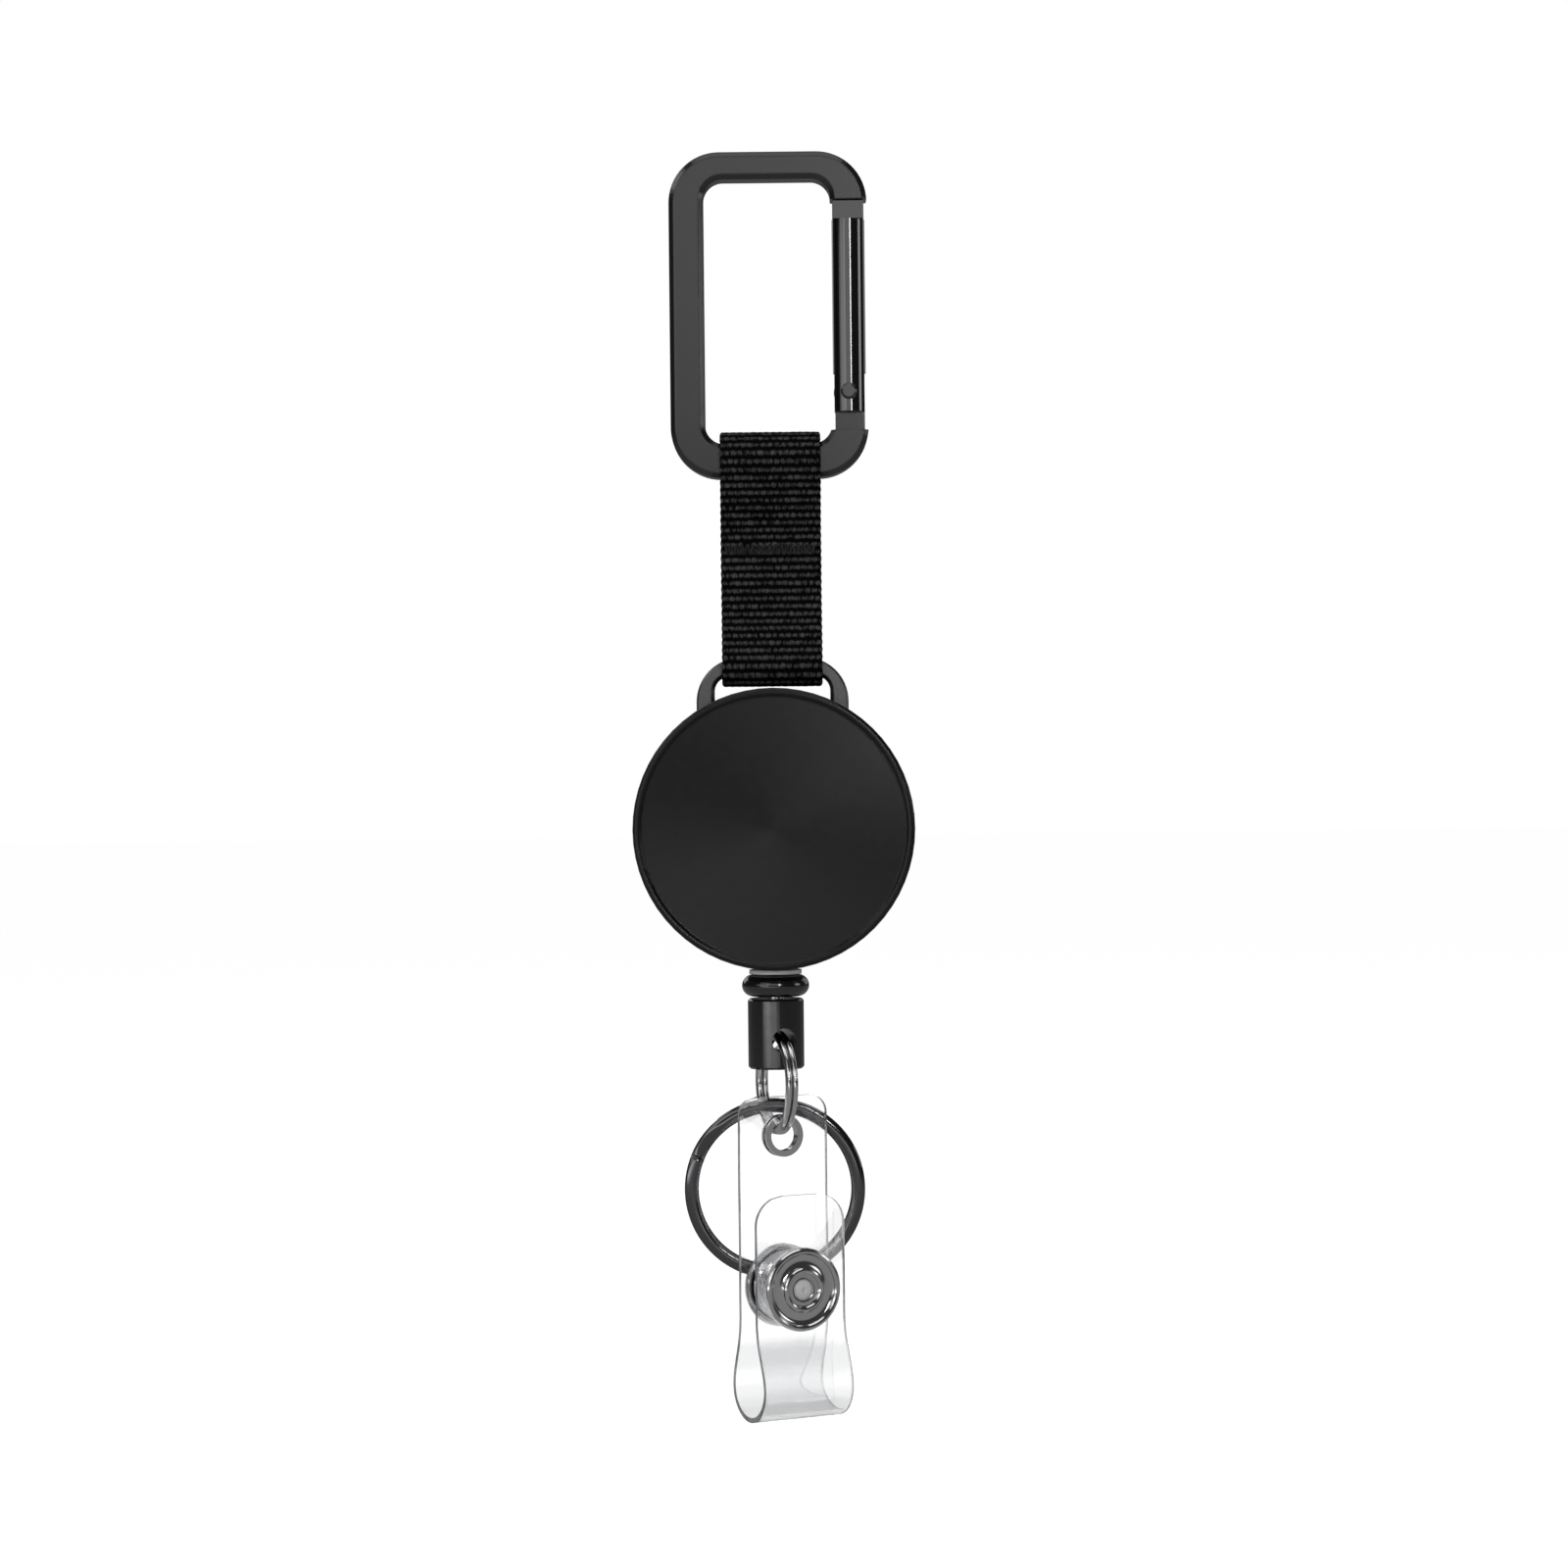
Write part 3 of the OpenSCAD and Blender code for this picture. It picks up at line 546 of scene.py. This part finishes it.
def soften(line, reach, closed):
    """Each point becomes the mean of its neighbours within reach."""
    count = len(line)
    out = []
    for i in range(count):
        spread = reach if closed else min(reach, i, count - 1 - i)
        near = [line[(i + k) % count] for k in range(-spread, spread + 1)]
        out.append(sum(near, Vector([0] * len(near[0]))) / len(near))
    return out


def weave(u, v):
    """How high the webbing stands at a place across and along it, from 0 to 1."""
    row, rib = divmod(v / RIB_PITCH, 1)
    column, yarn = divmod(u / YARN_PITCH + 0.5 * (row % 2), 1)
    ridge = math.sqrt(max(1 - (2 * rib - 1) ** 2, 0))
    crown = math.sqrt(max(1 - (2 * yarn - 1) ** 2, 0))
    jitter = 0.14 * noise.noise(Vector((column * 3.1, row * 1.7, 0.5)))
    return ridge * (0.74 + 0.26 * crown) + jitter * ridge


def webbing_section():
    """Places round the strap's section: across, out from the middle, and how much weave shows."""
    half, thick = WEBBING_WIDTH / 2, WEBBING_THICK / 2
    outer, edge, inner = 84, 5, 16
    around = [(-half + thick * 0.6 + (WEBBING_WIDTH - thick * 1.2) * i / outer, thick, 1)
              for i in range(outer + 1)]
    bulge = [math.radians(90 - 180 * i / (edge + 1)) for i in range(1, edge + 1)]
    around += [(half - thick * 0.6 + thick * 0.6 * math.cos(a), thick * math.sin(a), 0.5) for a in bulge]
    around += [(half - thick * 0.6 - (WEBBING_WIDTH - thick * 1.2) * i / inner, -thick, 0)
               for i in range(inner + 1)]
    around += [(-half + thick * 0.6 - thick * 0.6 * math.cos(a), -thick * math.sin(a), 0.5) for a in bulge]
    return around


def webbing_mesh(name, line, closed):
    """Woven webbing along a line in Y and Z, with its outer face to the line's left."""
    section = webbing_section()
    count = len(line)
    verts, crown_shades = [], []
    v = 0
    for i, point in enumerate(line):
        ahead = line[(i + 1) % count] if closed else line[min(i + 1, count - 1)]
        behind = line[i - 1] if closed or i else line[0]
        way = (ahead - behind).normalized()
        out = Vector((0, way.y, -way.x))
        v += (point - line[i - 1]).length if i else 0
        for x, off, share in section:
            height = weave(x, v)
            rise = share * RIB_HEIGHT * (height - 0.85)
            wave = 0.05 * MM * math.sin(v / (4.2 * MM)) * (abs(x) / WEBBING_WIDTH)
            pulled = x * (1 + 0.006 * math.sin(2 * math.pi * v / RIB_PITCH)) + wave
            place = Vector((pulled, point[0], point[1])) + out * (off + rise)
            verts.append(place)
            # Crown heights for the painted shade in the weave's hollows; the inner face takes a middle value
            crown_shades.append(height if share else 0.4)
    faces = grid_faces(count, len(section), closed)
    if not closed:
        size = len(section)
        faces += [tuple(range(size)), tuple(range((count - 1) * size, count * size))]
    piece = new_piece(name, verts, faces, "webbing")
    tidy_normals(piece)
    layer = piece.data.attributes.new("crown", "FLOAT", "POINT")
    layer.data.foreach_set("value", crown_shades)
    return piece


def make_webbing():
    """One loop of webbing, round the carabiner's bottom bar and the neck ring."""
    front = webbing_outline()
    back = [(-y, z) for y, z in reversed(front)]
    line = resample(front + back[1:], WEAVE_STEP)[:-1]
    strap = webbing_mesh("woven_strap", soften(line, 5, True), True)
    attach(strap, "strap")
    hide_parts("webbing_strap")


def make_bartack():
    """A band of close upright stitches across the strap, front and back."""
    band_z = pivot("strap_swing").z - BARTACK_DROP
    face = WEBBING_THICK + LAYER_CLEARANCE - STITCH_SINK
    width = WEBBING_WIDTH - 2 * BARTACK_MARGIN
    turns = int(width / STITCH_PITCH)
    for side, name in ((-1, "bartack_front"), (1, "bartack_back")):
        stations = []
        for i in range(turns * 8 + 1):
            t = i / 8
            zig = math.cos(math.pi * t)
            lift = STITCH_ARCH * (1 - abs(zig) ** 6)
            across, height = -width / 2 + t * STITCH_PITCH, band_z + zig * BARTACK_HEIGHT / 2
            place = Vector((across, side * (face + lift), height))
            stations.append((place, Vector((1, 0, 0)), Vector((0, 1, 0))))
        stitch = sweep(name, stations, round_section(THREAD_R, 8), "thread")
        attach(stitch, "strap")


# ---------------------------------------------------------------- cord

def make_cord():
    """The cord from the spool through the outlet to the bead."""
    reel = pivot("spool_spin")
    points = [Vector((x * MM, 0, z * MM)) + reel for x, z in CORD_ROUTE]
    dense = soften(resample(points, 0.1 * MM), 6, False)
    dense.append(points[-1])
    stations = []
    for i, point in enumerate(dense):
        way = (dense[min(i + 1, len(dense) - 1)] - dense[max(i - 1, 0)]).normalized()
        depth = Vector((0, 1, 0))
        stations.append((point, way.cross(depth).normalized(), depth))
    cord = sweep("cord_run", stations, round_section(CORD_R, 12), "cord")
    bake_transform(cord)
    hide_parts("cord_lead")


def make_wound_cord():
    """The wound cord, turn beside turn and layer on layer."""
    reel = pivot("spool_spin")
    steps = 64
    stations = []
    for i in range(WIND_TURNS * steps + 1):
        turn = i / steps
        layer = min(int(turn / LAYER_TURNS), 2)
        place = turn - LAYER_TURNS * layer
        across = WIND_PITCH * (place / LAYER_TURNS * 2 - 1) * (1 if layer % 2 == 0 else -1)
        radius = WIND_R + layer * LAYER_RISE + 0.02 * MM * smooth_step(place, 0, 0.4)
        a = 2 * math.pi * turn
        out = Vector((math.cos(a), 0, math.sin(a)))
        stations.append((reel + out * radius + Vector((0, across, 0)), out, Vector((0, 1, 0))))
    coil = sweep("wound_cord", stations, round_section(CORD_R * 0.97, 10), "cord")
    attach(coil, "spool")
    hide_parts("cord_winding")


# ---------------------------------------------------------------- clear strap

def badge_along():
    """The way across the clear strap's width."""
    return -axis("badge_swing")


def badge_front():
    """The way that the clear strap's flap faces."""
    return badge_along().cross(UP)


def badge_place(across, forward, z):
    """A place on the clear strap, which stands turned about the vertical."""
    middle = Vector((pivot("badge_swing").x, pivot("badge_swing").y, z))
    return middle + badge_along() * across + badge_front() * forward


def badge_line():
    """The strap's middle line from the top of its rear layer, round the fold, to the top of the flap."""
    fold_z = pivot("flap_open").z
    bend_z = centre("snap_ring").z - SNAP_CLEAR
    middle = BADGE_GAP / 2 + FOLD_SHIFT
    line = [(0, pivot("badge_swing").z + BADGE_RISE), (0, bend_z)]
    steps = 18
    for i in range(steps + 1):
        a = math.pi * i / steps
        line.append((middle - FOLD_R * math.cos(a), fold_z - FOLD_R * math.sin(a)))
    line += [(BADGE_GAP, bend_z), (BADGE_GAP, fold_z + FLAP_RISE)]
    return soften(resample(line, BADGE_STEP), 7, False)


def end_half_width(distance, corner):
    """Half the strap's width this far from a round-cornered end."""
    gap = max(corner - distance, 0)
    return BADGE_WIDTH / 2 - corner + math.sqrt(max(corner ** 2 - gap ** 2, 0))


def cut_hole(piece, place, direction, radius):
    """Cuts a round hole through a piece."""
    bpy.ops.mesh.primitive_cylinder_add(vertices=48, radius=radius, depth=4 * MM, location=place)
    cutter = bpy.context.object
    cutter.rotation_mode = "QUATERNION"
    cutter.rotation_quaternion = direction.to_track_quat("Z", "Y")
    mod = piece.modifiers.new("hole", "BOOLEAN")
    mod.object = cutter
    mod.solver = "EXACT"
    apply_modifiers(piece)
    bpy.data.objects.remove(cutter)


def apply_modifiers(piece):
    """Swaps a piece's mesh for the one that its modifiers make."""
    bpy.context.view_layer.update()
    graph = bpy.context.evaluated_depsgraph_get()
    mesh = bpy.data.meshes.new_from_object(piece.evaluated_get(graph))
    piece.modifiers.clear()
    old = piece.data
    piece.data = mesh
    bpy.data.meshes.remove(old)


def paint_fold_shade(strap):
    """Paints shade on the vinyl: none above the bend, grey on the fold below it, and a less grey band across the
    fold as a painted highlight.
    """
    bend_z = centre("snap_ring").z - SNAP_CLEAR
    band_at, band_width, band_strength = FOLD_HIGHLIGHT_BAND
    values = []
    for vertex in strap.data.vertices:
        drop = (bend_z - vertex.co.z) / MM
        fold_shade = sum(strength * smooth_step(drop, low, high) for low, high, strength in FOLD_SHADE_RISES)
        band = band_strength * math.exp(-((drop - band_at) / band_width) ** 2)
        values.append(max(fold_shade - band, 0))
    strap.data.attributes.new("fold_shade_and_highlight", "FLOAT", "POINT").data.foreach_set("value", values)


def mark_edges(strap):
    """Gives the strap's cut edges their own material."""
    strap.data.materials.append(MATERIALS["vinyl_edge"])
    bend_z = centre("snap_ring").z - SNAP_CLEAR
    for face in strap.data.polygons:
        flat = face.center.z > bend_z and abs(face.normal.dot(badge_front())) < 0.7
        if flat or abs(face.normal.dot(badge_along())) > 0.6:
            face.material_index = 1


def make_clear_strap():
    """One strip of clear vinyl: the rear layer, the fold and the flap that snaps to it."""
    line = badge_line()
    columns = 24
    lengths = [0]
    for a, b in zip(line, line[1:]):
        lengths.append(lengths[-1] + (b - a).length)
    verts = []
    for point, run in zip(line, lengths):
        top = end_half_width(run, BADGE_CORNER)
        flap = end_half_width(lengths[-1] - run, FLAP_CORNER)
        half = min(top, flap)
        for j in range(columns + 1):
            x = -half + 2 * half * j / columns
            corner = (x + BADGE_WIDTH / 2) ** 2 + (run - CRUMPLE_AT) ** 2
            crumple = math.exp(-corner / CRUMPLE_REACH ** 2)
            ripple = CRUMPLE_HEIGHT * crumple * noise.noise(Vector((x * 900, run * 900, 2.0)))
            bow = BOW_HEIGHT * noise.noise(Vector((x * 160, run * 120, 7.0)))
            verts.append(badge_place(x, point[0] + ripple + bow, point[1]))
    faces = grid_faces(len(line), columns + 1, False, False)
    strap = new_piece("clear_strap", verts, faces, "clear_vinyl")
    thick = strap.modifiers.new("thick", "SOLIDIFY")
    thick.thickness = BADGE_THICK
    thick.offset = 0
    apply_modifiers(strap)
    tidy_normals(strap)
    front = badge_front()
    cut_hole(strap, centre("strap_eyelet"), front, EYELET_HOLE_R)
    cut_hole(strap, centre("snap_ring"), front, SNAP_HOLE_R)
    cut_hole(strap, centre("snap_cap"), front, SNAP_HOLE_R)
    edge = strap.modifiers.new("edge", "BEVEL")
    edge.width = EDGE_ROUND
    edge.segments = 2
    edge.limit_method = "ANGLE"
    edge.angle_limit = math.radians(50)
    apply_modifiers(strap)
    strap.data.shade_smooth()
    # Painted grey shade and a painted highlight band on the fold
    paint_fold_shade(strap)
    mark_edges(strap)
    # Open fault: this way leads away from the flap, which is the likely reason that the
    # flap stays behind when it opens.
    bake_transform(strap)
    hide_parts("badge_strap_back", "badge_strap_flap")


def turned(name, middle, front, profile, material):
    """Turns a profile of (radius, height) about an axis, as a thin shell that stands on its heights."""
    across = front.cross(UP).normalized()
    steps = 56
    shell = profile + [(radius, height - SNAP_SKIN) for radius, height in reversed(profile)]
    verts = []
    for radius, height in shell:
        for j in range(steps):
            a = 2 * math.pi * j / steps
            verts.append(middle + front * height + (across * math.cos(a) + UP * math.sin(a)) * radius)
    piece = new_piece(name, verts, grid_faces(len(shell), steps, True, True), material)
    tidy_normals(piece)
    return piece


def make_snap_face():
    """The pressed rings round the snap's middle, and a pale disc in its hollow rivet, which is painted light for
    the white seen through the rivet.
    """
    front = badge_front()
    middle = centre("snap_ring") + front * SNAP_FACE_AT
    for name, profile, material in (("snap_face", SNAP_FACE, "snap_nickel"),
                                    ("snap_rivet_dish", SNAP_DISH, "see_through_light_satin")):
        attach(turned(name, middle, front, profile, material), "flap")


# ---------------------------------------------------------------- stage

def make_camera():
    """A long lens in front of the object, level with its middle."""
    data = bpy.data.cameras.new("camera")
    data.lens = LENS_MM
    data.sensor_width = SENSOR_MM
    data.clip_start = 0.01
    data.clip_end = 20
    cam = bpy.data.objects.new("camera", data)
    bpy.context.scene.collection.objects.link(cam)
    distance = FRAME_HEIGHT * LENS_MM / SENSOR_MM
    cam.location = (AXIS_OFFSET, -distance, (cad_low.z + cad_high.z) / 2)
    turn = Matrix.Rotation(math.pi / 2, 4, "X") @ Matrix.Rotation(CAMERA_ROLL, 4, "Z")
    cam.rotation_euler = turn.to_euler()
    bpy.context.scene.camera = cam


def softbox(name, azimuth, elevation, distance, width, height, radiance):
    """A soft light in this direction from the object's middle. Azimuth 0 is the front, 90 the right."""
    middle = Vector((0, 0, (cad_low.z + cad_high.z) / 2))
    turn, rise = math.radians(azimuth), math.radians(elevation)
    way = Vector((math.sin(turn) * math.cos(rise), -math.cos(turn) * math.cos(rise), math.sin(rise)))
    data = bpy.data.lights.new(name, "AREA")
    data.shape = "RECTANGLE"
    data.size = width
    data.size_y = height
    data.energy = radiance * math.pi * width * height
    light = bpy.data.objects.new(name, data)
    bpy.context.scene.collection.objects.link(light)
    light.location = middle + way * distance
    light.rotation_mode = "QUATERNION"
    light.rotation_quaternion = way.to_track_quat("Z", "Y")
    light.visible_camera = False
    light.visible_transmission = False


def make_lights():
    """The soft lights, each named after the highlight that it makes or the place where it stands."""
    for light in LIGHTS:
        softbox(*light)


def seen_directly(tree):
    """1 for a ray that the camera sees straight or through clear material, and 0 for a reflection."""
    ray = tree.nodes.new("ShaderNodeLightPath")
    either = tree.nodes.new("ShaderNodeMath")
    either.operation = "MAXIMUM"
    tree.links.new(ray.outputs["Is Camera Ray"], either.inputs[0])
    tree.links.new(ray.outputs["Is Transmission Ray"], either.inputs[1])
    return either.outputs["Value"]


def make_world():
    """White to the eye, and a dim room for what the object reflects and is lit by."""
    world = bpy.data.worlds.new("studio")
    bpy.context.scene.world = world
    world.use_nodes = True
    tree = world.node_tree
    tree.nodes.clear()
    seen = tree.nodes.new("ShaderNodeBackground")
    room = tree.nodes.new("ShaderNodeBackground")
    mix = tree.nodes.new("ShaderNodeMixShader")
    out = tree.nodes.new("ShaderNodeOutputWorld")
    seen.inputs["Color"].default_value = (1, 1, 1, 1)
    room.inputs["Color"].default_value = (1, 1, 1, 1)
    room.inputs["Strength"].default_value = ROOM_LIGHT
    tree.links.new(seen_directly(tree), mix.inputs["Fac"])
    tree.links.new(room.outputs["Background"], mix.inputs[1])
    tree.links.new(seen.outputs["Background"], mix.inputs[2])
    tree.links.new(mix.outputs["Shader"], out.inputs["Surface"])


def make_floor():
    """A wide pale floor, bright enough to run into the white behind it."""
    floor_z = cad_low.z - FLOOR_GAP
    mat = new_material("floor", (0.4, 0.4, 0.4), 0.0, 0.7, Specular_IOR_Level=0.0)
    vary_roughness(mat, 8, 0.65, 0.8)
    glow = add_node(mat, "ShaderNodeMapRange", To_Min=FLOOR_GLOW[0], To_Max=FLOOR_GLOW[1])
    join(mat, seen_directly(mat.node_tree), glow.inputs["Value"])
    bsdf = mat.node_tree.nodes["Principled BSDF"]
    bsdf.inputs["Emission Color"].default_value = (1, 1, 1, 1)
    join(mat, glow.outputs["Result"], bsdf.inputs["Emission Strength"])
    MATERIALS["floor"] = mat
    low, high = -FLOOR_HALF, FLOOR_HALF
    corners = ((low, low), (high, low), (high, high), (low, high))
    verts = [Vector((x, y, floor_z)) for x, y in corners]
    new_piece("floor", verts, [(0, 1, 2, 3)], "floor")


def main():
    """Builds every piece and the stage."""
    scene = bpy.context.scene
    scene.view_settings.view_transform = "Standard"
    make_camera()
    finish_nodes()
    make_rings()
    make_webbing()
    make_bartack()
    make_cord()
    make_wound_cord()
    make_clear_strap()
    make_snap_face()
    make_world()
    make_lights()
    make_floor()


main()
